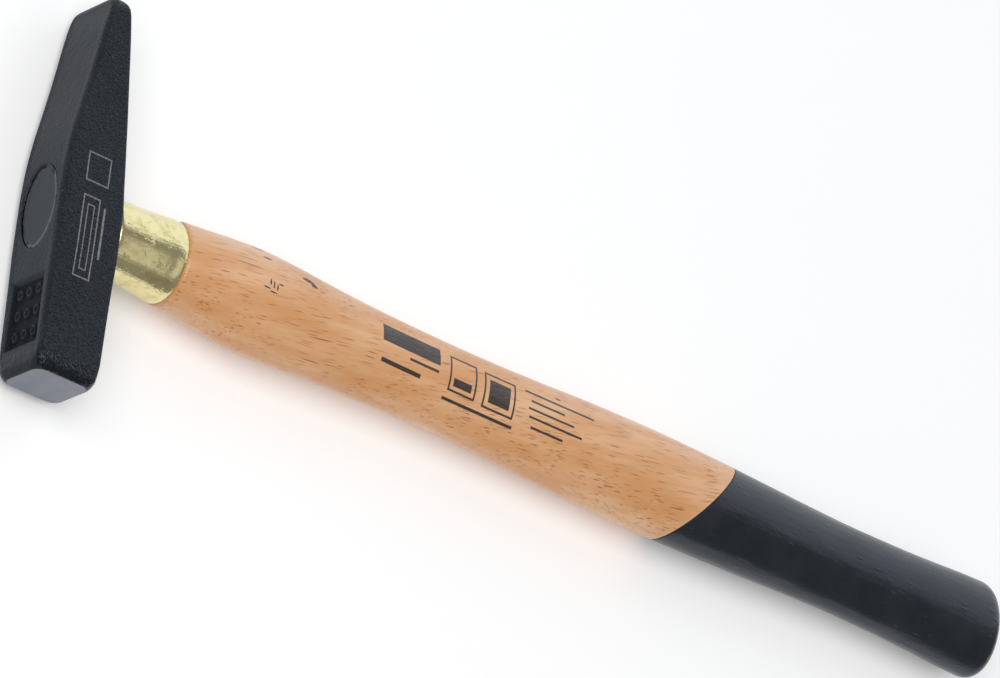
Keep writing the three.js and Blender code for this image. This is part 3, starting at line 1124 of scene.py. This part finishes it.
    def _face(self, draft: Draft, edge: Array, ring: Array) -> None:
        """Closes the struck end with a slightly crowned face.

        Args:
            draft: The head's draft.
            edge: Places of the end ring.
            ring: Point numbers of the end ring.
        """
        draft.points[0].reshape(-1, 3)[ring, 1] += self.crown
        rings = [ring]
        for share in (0.985, 0.94, 0.86, 0.74, 0.6, 0.44, 0.26, 0.1):
            inner = edge.copy()
            inner[:, 0] *= share
            inner[:, 2] *= share
            inner[:, 1] = self.face_y + self.crown * share**2
            rings.append(draft.add(inner))
        draft.quads(np.stack(rings), tag=1)
        draft.fan(rings[-1], (0.0, self.face_y, 0.0), tag=1)

    def make(self) -> None:
        """Builds and dresses the head."""
        dress = (PowderCoat().material(), GroundSteel().material())
        self.settle(self.build(), Slot.HEAD, ["hammer_head"], dress)


# ---- handle and coat
OUTLINE = Profile(
    (
        (24.7, 9.25, 8.0), (30, 9.75, 8.2), (38, 10.6, 8.55), (46, 11.15, 8.7), (54, 10.9, 8.5),
        (62, 10.45, 8.15), (72, 9.97, 7.75), (82, 9.72, 7.5), (92, 9.62, 7.42),
        (104, 9.71, 7.5), (118, 10.1, 7.75), (132, 10.7, 8.15), (144, 11.07, 8.4),
        (155, 11.25, 8.5), (168, 11.1, 8.4), (182, 10.76, 8.05), (196, 10.34, 7.6),
        (209, 10.12, 7.35), (222, 10.22, 7.42), (234, 10.62, 7.65), (243, 11.1, 7.9),
        (248.6, 11.25, 8.0),
    )
)


@dataclass
class Turned(Piece):
    """What the handle and its coat share: an oval outline with a rounded butt."""

    around: int = 96
    core_x: float = 247.0
    butt_x: float = 252.5
    butt_ease: float = 0.005
    butt_radius: float = 3.9
    edge_x: float = 167.0
    slope_y: float = 0.73
    slope_z: float = 0.08
    coat: float = 0.4
    ease: float = 34.0

    def run(self, along: Array, inset: float) -> Array:
        """Rings of the outside, slanted near the edge of the coat.

        Args:
            along: Place of each ring on the axis.
            inset: How far inside the outline they lie.

        Returns:
            Points, one row to each ring.
        """
        turn = np.linspace(0, 2 * math.pi, self.around, endpoint=False)[None, :]
        s = np.asarray(along, float)[:, None]
        slant = 1 - smooth(np.abs(s - self.edge_x), 0, self.ease)
        x = s + 0 * turn
        for _ in range(8):
            half = OUTLINE.at(x)
            wave = 0.05 * rough_wave(x * 0.055, turn * 1.0) - 0.05
            y = (half[..., 0] - inset + wave) * np.cos(turn)
            z = (half[..., 1] - inset + wave) * np.sin(turn)
            x = s + slant * (self.slope_y * y + self.slope_z * z)
        return np.stack([x, y, z], -1)

    def butt(self, inset: float) -> Array:
        """Rings of the rounded butt.

        Args:
            inset: How far inside the outline they lie.

        Returns:
            Points, one row to each ring.
        """
        turn = np.radians(np.linspace(0, 90, 9)[1:])
        half = OUTLINE.at(self.butt_x)
        radius = self.butt_radius - inset
        drawn = inset + 0.05 + radius * (1 - np.cos(turn))
        x = self.butt_x - self.butt_radius + radius * np.sin(turn) - self.butt_ease
        return ovals(x, half[0] - drawn, half[1] - drawn, self.around)


@dataclass
class Handle(Turned):
    """Beech handle: turned grip, neck under the sleeve and a kerfed tenon in the eye."""

    neck: Profile = Profile(
        (
            (-6.3, 8.4, 4.92), (-5.5, 8.12, 4.88), (-2.0, 7.42, 4.73), (2.0, 7.22, 4.68),
            (5.0, 7.2, 4.78), (7.2, 7.35, 5.1), (7.9, 7.5, 5.8), (9.0, 7.45, 5.85),
            (12.0, 7.5, 6.05), (16.0, 7.62, 6.29), (20.0, 7.9, 6.61), (24.2, 8.23, 6.97),
        )
    )
    slack: float = 0.02
    tenon_x: float = -6.3
    kerf_start: float = -6.6
    kerf_end: float = 6.0
    kerf_half_y: float = 12.0
    kerf_thick: tuple[float, float] = (3.0, 1.4)
    groove: tuple[float, float] = (2.45, 3.8)
    groove_run: tuple[float, float] = (-7.6, 1.0)

    def build(self) -> bpy.types.Object:
        """Draws the handle's mesh and cuts its kerf and groove.

        Returns:
            The object.
        """
        draft = Draft()
        fit = np.array([7.2, 7.5, 7.9, 8.4, 9.0])
        tenon = np.linspace(self.tenon_x, 6.2, 8)
        under = np.concatenate([tenon, fit, np.linspace(10.5, 24.2, 8)])
        neck = self.neck.at(under)
        shoulder = self.run(np.array([24.5, 24.62, 24.9]), 0.0)
        shoulder[0, :, 1:] *= 0.972
        shoulder[0, :, 0] = 24.45
        shoulder[1, :, 1:] *= 0.99
        grip = self.run(np.linspace(25.6, self.edge_x - 0.12, 112), 0.0)
        under_coat = self.coat + self.slack
        step = self.run(np.array([self.edge_x - 0.1]), under_coat)
        core = self.run(np.linspace(self.edge_x + 3, self.core_x, 14), under_coat)
        inner = ovals(under, neck[:, 0], neck[:, 1], self.around)
        rings = np.concatenate([inner, shoulder, grip, step, core, self.butt(under_coat)])
        rows = draft.add(rings)
        draft.quads(rows)
        draft.fan(rows[0], (self.tenon_x, 0, 0))
        draft.fan(rows[-1], rings[-1].mean(0))
        made = draft.build("handle_beech", self.origin)
        self._cut(made, self._kerf())
        self._cut(made, self._groove())
        return made

    def _kerf(self) -> bpy.types.Object:
        """Cutter for the slot that the wooden wedge fills.

        Returns:
            The object.
        """
        draft = Draft()
        wide, thin = (v / 2 for v in self.kerf_thick)
        slope = (wide - thin) / (self.kerf_end - self.kerf_start)
        ends = (self.kerf_start - 1.0, self.kerf_end)
        corners = ((1, 1), (-1, 1), (-1, -1), (1, -1))
        rings = []
        for x in ends:
            half = thin + slope * (self.kerf_end - x)
            rings.append([(x, sy * self.kerf_half_y, sz * half) for sy, sz in corners])
        rows = draft.add(np.array(rings))
        draft.quads(rows)
        for row, x in zip(rows, ends):
            draft.fan(row, (x, 0, 0))
        return draft.build("kerf_cutter", self.origin)

    def _groove(self) -> bpy.types.Object:
        """Cutter for the round groove that the tube wedge sits in.

        Returns:
            The object.
        """
        draft = Draft()
        inner, outer = self.groove
        start, end = self.groove_run
        radius = np.array([outer, outer, inner, inner])
        rows = draft.add(ovals(np.array([start, end, end, start]), radius, radius, 48))
        draft.quads(np.concatenate([rows, rows[:1]]))
        return draft.build("groove_cutter", self.origin)

    @staticmethod
    def _cut(made: bpy.types.Object, cutter: bpy.types.Object) -> None:
        """Cuts one object from another and removes the cutter.

        Args:
            made: What is cut.
            cutter: What cuts it.
        """
        change = made.modifiers.new("cut", "BOOLEAN")
        change.operation = "DIFFERENCE"
        change.solver = "EXACT"
        change.object = cutter
        graph = bpy.context.evaluated_depsgraph_get()
        mesh = bpy.data.meshes.new_from_object(made.evaluated_get(graph))
        made.modifiers.clear()
        made.data = mesh
        bpy.data.objects.remove(cutter)

    def make(self) -> None:
        """Builds and dresses the handle."""
        self.settle(self.build(), Slot.BEECH, ["handle"], [Beech().material()])


@dataclass
class GripCoat(Turned):
    """Dipped lacquer on the tail of the grip, ended on a slant."""

    def build(self) -> bpy.types.Object:
        """Draws the coat's mesh.

        Returns:
            The object.
        """
        draft = Draft()
        lip = self.run(np.full(4, self.edge_x), 0.0)
        for row, (back, inset) in enumerate(((0.1, 0.3), (0.0, 0.16), (0.06, 0.05), (0.22, 0.0))):
            lip[row, :, 0] += back
            lip[row, :, 1:] *= 1 - inset / 9.5
        outer = self.run(np.linspace(self.edge_x + 0.8, 248.4, 68), 0.0)
        inner = self.run(np.linspace(self.core_x, self.edge_x + 0.3, 16), self.coat)
        rings = [lip, outer, self.butt(0.0)]
        rows = draft.add(np.concatenate(rings))
        hollow = np.concatenate([self.butt(self.coat)[::-1], inner])
        inside = draft.add(hollow)
        draft.quads(rows)
        draft.quads(np.stack([inside[-1], rows[0]]))
        draft.quads(inside)
        draft.fan(rows[-1], (self.butt_x - self.butt_ease, 0, 0))
        draft.fan(inside[0], (self.butt_x - self.coat, 0, 0))
        return draft.build("grip_coat", self.origin)

    def make(self) -> None:
        """Builds and dresses the coat."""
        coat = Lacquer(
            name="dipped_lacquer",
            body=(0.0085, 0.010, 0.0135),
            worn=(0.014, 0.0165, 0.021),
            roughness=0.27,
            ripple=0.11,
            grain=(0.1, 0.65, 0.65),
        )
        self.settle(self.build(), Slot.GRIP, ["grip_dip_coat"], [coat.material()])


# ---- sleeve and plug
@dataclass
class Sleeve(Piece):
    """Brass sleeve round the neck, rolled in at both ends."""

    around: int = 128
    wall: float = 0.55
    outside: Profile = Profile(
        (
            (7.82, 7.5, 6.05), (8.0, 7.8, 6.35), (8.5, 8.02, 6.58), (9.6, 8.12, 6.7),
            (12.0, 8.25, 6.86), (16.0, 8.47, 7.14), (20.0, 8.75, 7.46), (22.8, 9.04, 7.77),
            (23.5, 9.02, 7.76), (24.0, 8.9, 7.66), (24.3, 8.72, 7.5), (24.4, 8.55, 7.34),
        )
    )

    def build(self) -> bpy.types.Object:
        """Draws the sleeve's mesh.

        Returns:
            The object.
        """
        draft = Draft()
        spans = ((7.82, 8.0, 3), (8.1, 9.6, 8), (10.2, 22.8, 20), (23.0, 24.4, 13))
        x = np.concatenate([np.linspace(*span) for span in spans])
        half = self.outside.at(x)
        outer = ovals(x, half[:, 0], half[:, 1], self.around)
        turn = np.linspace(0, 2 * math.pi, self.around, endpoint=False)
        wave = 0.02 * rough_wave(outer[..., 0] * 0.4, turn[None, :] * 3.0)
        outer[..., 1:] *= (1 - (0.02 + wave) / 8.0)[..., None]
        xi = np.linspace(24.0, 8.3, 14)
        inside = self.outside.at(np.clip(xi, 9.6, 22.8)) - self.wall
        inner = ovals(xi, inside[:, 0], inside[:, 1], self.around)
        rows = draft.add(np.concatenate([outer, inner]))
        draft.quads(np.concatenate([rows, rows[:1]]))
        return draft.build("sleeve_brass", self.origin, 50.0)

    def make(self) -> None:
        """Builds and dresses the sleeve."""
        self.settle(self.build(), Slot.SLEEVE, ["ferrule_sleeve"], [Brass().material()])


@dataclass
class EyePlug(Piece):
    """Lacquer poured over the tenon, nearly flush with the head and torn along one side."""

    around: int = 160
    half_y: float = 9.2
    half_z: float = 5.46
    top_x: float = -7.78
    foot_x: float = -6.62

    def build(self) -> bpy.types.Object:
        """Draws the plug's mesh.

        Returns:
            The object.
        """
        draft = Draft()
        turn = np.linspace(0, 2 * math.pi, self.around, endpoint=False)
        low_side = smooth(-np.sin(turn), 0.25, 0.8)
        ragged = 0.5 + 0.5 * rough_wave(turn * 9.0)
        upper = smooth(np.cos(turn), -0.4, 0.1)
        gap = 0.05 + low_side * (0.2 + 0.3 * ragged + upper * (0.35 + 0.55 * ragged))
        chips = smooth(np.sin(turn), 0.5, 0.9) * smooth(rough_wave(turn * 12.0), 0.35, 0.6)
        gap = gap + 0.22 * chips

        def ring(share: float, x: float, lift: Array | float = 0.0) -> Array:
            """One ring of the plug.

            Args:
                share: Its size as a share of the plug.
                x: Its place down the eye.
                lift: How far each point is moved from x.

            Returns:
                The points.
            """
            y = (self.half_y * share - gap * (share > 0.9)) * np.cos(turn)
            z = (self.half_z * share - gap * (share > 0.9)) * np.sin(turn)
            return np.stack([x + lift + 0 * turn, y, z], -1)

        lip = -0.05 * smooth(np.sin(turn), -0.1, 0.5)
        rings = [
            ring(0.985, self.foot_x),
            ring(1.0, self.top_x + 0.22),
            ring(0.998, self.top_x + 0.06, lip),
            ring(0.985, self.top_x, lip),
            ring(0.95, self.top_x + 0.02, lip * 0.3),
        ]
        for share in (0.88, 0.78, 0.66, 0.52, 0.38, 0.22, 0.08):
            rings.append(ring(share, self.top_x + 0.03 + 0.07 * (1 - share**2)))
        rows = draft.add(np.stack(rings))
        draft.quads(rows)
        draft.fan(rows[0], (self.foot_x, 0, 0))
        draft.fan(rows[-1], (self.top_x + 0.1, 0, 0))
        return draft.build("eye_plug", self.origin, 60.0)

    def make(self) -> None:
        """Builds and dresses the plug."""
        pour = Lacquer(
            name="poured_lacquer",
            body=(0.012, 0.0142, 0.018),
            worn=(0.017, 0.0198, 0.0245),
            roughness=0.4,
            ripple=0.02,
            grain=(0.3, 0.3, 0.3),
            specular=0.38,
            rim=(self.half_y, self.half_z),
        )
        self.settle(self.build(), Slot.EYE, ["eye_seal"], [pour.material()])


@dataclass
class Wedges:
    """Wooden wedge and tube wedge hidden in the tenon, kept as the CAD made them."""

    def make(self) -> None:
        """Dresses the two wedges."""
        pale, deep = (0.5, 0.3, 0.15), (0.4, 0.21, 0.1)
        wood = Beech(name="sawn_wedge_wood", pale=pale, deep=deep, varnish=0.0)
        dress = {"kerf_wedge": wood.material(), "ring_wedge": DrawnSteel().material()}
        for node, material in dress.items():
            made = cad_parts[node]
            made.data.materials.clear()
            made.data.materials.append(material)
            LOG.info("%s: %d faces, as made in CAD", node, len(made.data.polygons))


# ---- studio
@dataclass
class Studio:
    """Floor, lights, world and camera."""

    origin: Vector
    floor_size: float = 6.0
    azimuth: float = -53.343
    elevation: float = 45.56
    roll: float = 68.66
    distance: float = 1404.9
    lens: float = 256.11
    slide_right: float = 84.917
    slide_up: float = -23.576

    def floor(self) -> None:
        """Lays the floor under the lowest point."""
        half = self.floor_size / 2
        level = CAD_BOX[0][2]
        signs = ((-1, -1), (1, -1), (1, 1), (-1, 1))
        corners = [(half * across, half * along, level) for across, along in signs]
        mesh = bpy.data.meshes.new("floor")
        mesh.from_pydata(corners, [], [(0, 1, 2, 3)])
        mesh.materials.append(PaleFloor().material())
        made = hang("floor", mesh)

    def softbox(
        self,
        name: str,
        toward: Vector,
        size: tuple[float, float],
        power: float,
        back: Vector | None = None,
        colour: Colour = (1.0, 1.0, 1.0),
    ) -> None:
        """Hangs one soft light that faces the hammer, or away from its own back.

        Args:
            name: The light's name.
            toward: Where it hangs from the hammer, in metres.
            size: Its width and height, in metres.
            power: Its power, in watts.
            back: The way that its back points, when it doesn't face the hammer.
            colour: The colour of its light.
        """
        light = bpy.data.lights.new(name, "AREA")
        light.shape = "RECTANGLE"
        light.size, light.size_y = size
        light.energy = power
        light.color = colour
        made = hang(name, light)
        made.location = toward
        made.rotation_euler = (back or toward).to_track_quat("Z", "Y").to_euler()

    def world(self, strength: float) -> None:
        """Even grey light from all round.

        Args:
            strength: How strong the light is.
        """
        world = bpy.data.worlds.new("studio")
        world.use_nodes = True
        ground = next(n for n in world.node_tree.nodes if n.type == "BACKGROUND")
        ground.inputs["Color"].default_value = (1.0, 1.0, 1.0, 1.0)
        ground.inputs["Strength"].default_value = strength
        bpy.context.scene.world = world

    def camera(self) -> None:
        """Sets the camera at its angle, distance and lens."""
        a, e, r = (math.radians(v) for v in (self.azimuth, self.elevation, self.roll))
        back = Vector((math.sin(a) * math.cos(e), -math.cos(a) * math.cos(e), math.sin(e)))
        right = Vector((0, 0, 1)).cross(back).normalized()
        up = back.cross(right)
        turned_right = right * math.cos(r) + up * math.sin(r)
        turned_up = up * math.cos(r) - right * math.sin(r)
        slide = turned_right * self.slide_right + turned_up * self.slide_up
        place = self.origin + (back * self.distance + slide) * MM
        lens = bpy.data.cameras.new("camera")
        lens.sensor_width = 36.0
        lens.lens = self.lens
        lens.clip_start = 0.01
        made = hang("camera", lens)
        turn = Matrix((turned_right, turned_up, back)).transposed()
        made.matrix_world = Matrix.Translation(place) @ turn.to_4x4()
        bpy.context.scene.camera = made

    def make(self) -> None:
        """Sets up the studio."""
        self.floor()
        sky = (0.85, 0.93, 1.0)
        self.softbox("bounce_wall", Vector((0.75, 1.0, 0.62)), (1.7, 1.5), 7.4, colour=sky)
        self.softbox("key_panel", Vector((-0.8, -0.25, 1.3)), (1.3, 1.3), 17.0)
        up = Vector((0, 0, 1))
        self.softbox("top_card", Vector((0.25, -0.27, 0.62)), (0.26, 0.66), 0.216, up)
        self.world(0.28)
        self.camera()
        bpy.context.scene.view_settings.view_transform = "Standard"
        LOG.info("studio: floor, three softboxes, world and camera")


def eye_centre() -> Vector:
    """The middle of the eye in the row frame, from the boxes of the CAD nodes.

    Returns:
        The place, in metres.
    """
    low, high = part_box("hammer_head")
    head = Head(Vector())
    x = low.x - min(row[1] for row in head.bar.stations) * MM
    y = low.y - head.face_y * MM
    return Vector((x, y, (low.z + high.z) / 2))


def main() -> None:
    """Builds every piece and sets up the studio."""
    logging.basicConfig(level=logging.INFO, format="%(name)s: %(message)s")
    origin = eye_centre()
    Board.middle = origin
    makers: tuple[Callable[[], None], ...] = (
        Head(origin).make,
        Handle(origin).make,
        GripCoat(origin).make,
        Sleeve(origin).make,
        EyePlug(origin).make,
        Wedges().make,
        Studio(origin).make,
    )
    for make in makers:
        make()


if __name__ == "__main__":
    main()
